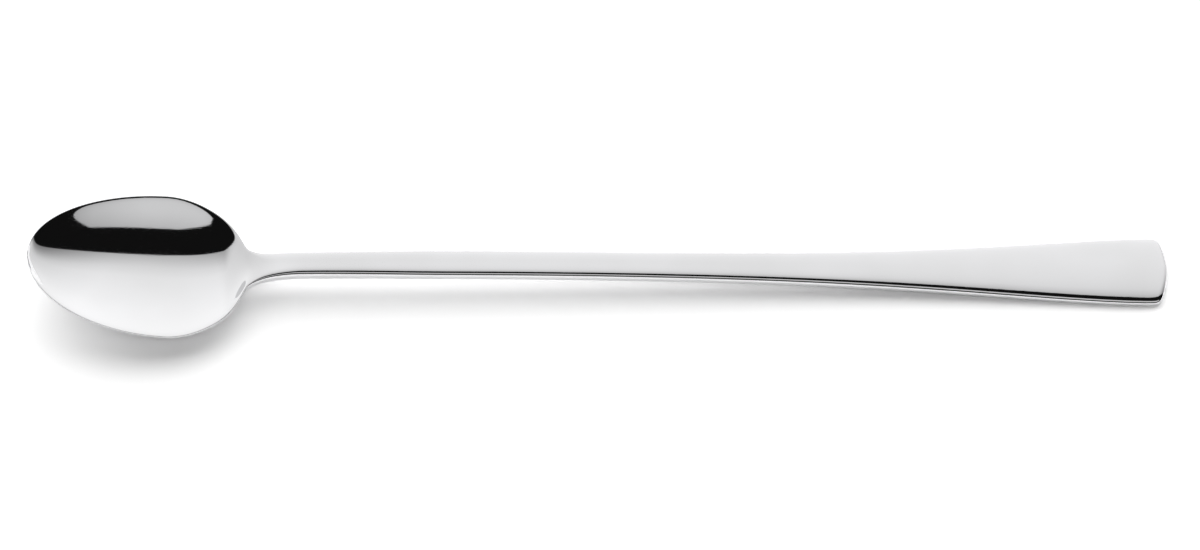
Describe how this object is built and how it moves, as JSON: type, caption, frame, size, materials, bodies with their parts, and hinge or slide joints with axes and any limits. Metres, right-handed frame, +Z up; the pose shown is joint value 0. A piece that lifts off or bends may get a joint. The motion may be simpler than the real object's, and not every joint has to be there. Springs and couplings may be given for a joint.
{
  "type": "iced tea spoon",
  "caption": "Long-handled iced tea spoon of polished stainless steel: a small oval bowl, a narrow neck and a slim stem that widens into a flat, plain handle.",
  "frame": {"origin": "on the table, under the middle of the spoon's length, on its plane of symmetry", "axes": "+X from the tip of the bowl towards the end of the handle, +Y across the spoon, +Z up from the table, into which the bowl's hollow opens"},
  "size_m": [0.2, 0.028, 0.0103],
  "materials": {
    "polished_steel": "stainless steel polished to a mirror, with fine wiping marks"
  },
  "bodies": {
    "root": {"bowl": "polished_steel", "neck": "polished_steel", "stem": "polished_steel", "handle": "polished_steel"}
  },
  "joints": []
}
